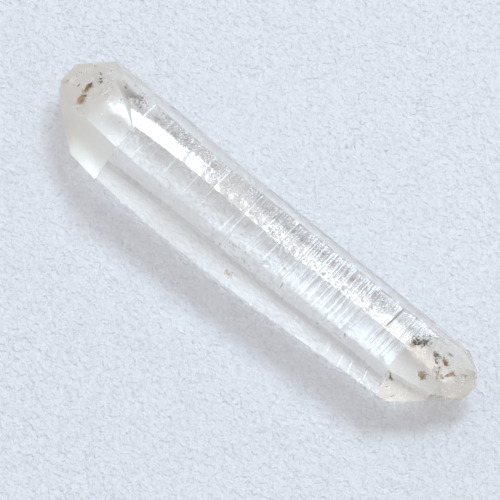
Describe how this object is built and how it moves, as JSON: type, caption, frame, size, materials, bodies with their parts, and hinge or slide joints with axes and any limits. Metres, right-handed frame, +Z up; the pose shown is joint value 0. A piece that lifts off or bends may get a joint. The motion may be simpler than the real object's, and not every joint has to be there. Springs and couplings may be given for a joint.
{
  "type": "double terminated quartz crystal",
  "caption": "Clear quartz prism with a pointed, faceted end on both sides, growth lines across its faces and small pits in the tips; it lies on one prism face.",
  "frame": {"origin": "middle of the crystal's bottom, on the surface that it lies on", "axes": "+X along the crystal's c axis towards its short blunt end, +Z up from the prism face that it rests on, +Y towards the back"},
  "size_m": [0.0398, 0.0086, 0.0078],
  "materials": {
    "clear_quartz": "natural crystal faces, glossy, with fine growth lines across the prism and a faint warm tint at both tips",
    "iron_stain": "dull ochre to dark brown mineral stain in the pits at both tips, visual model only"
  },
  "bodies": {
    "root": {"quartz_crystal": "clear_quartz"}
  },
  "joints": []
}
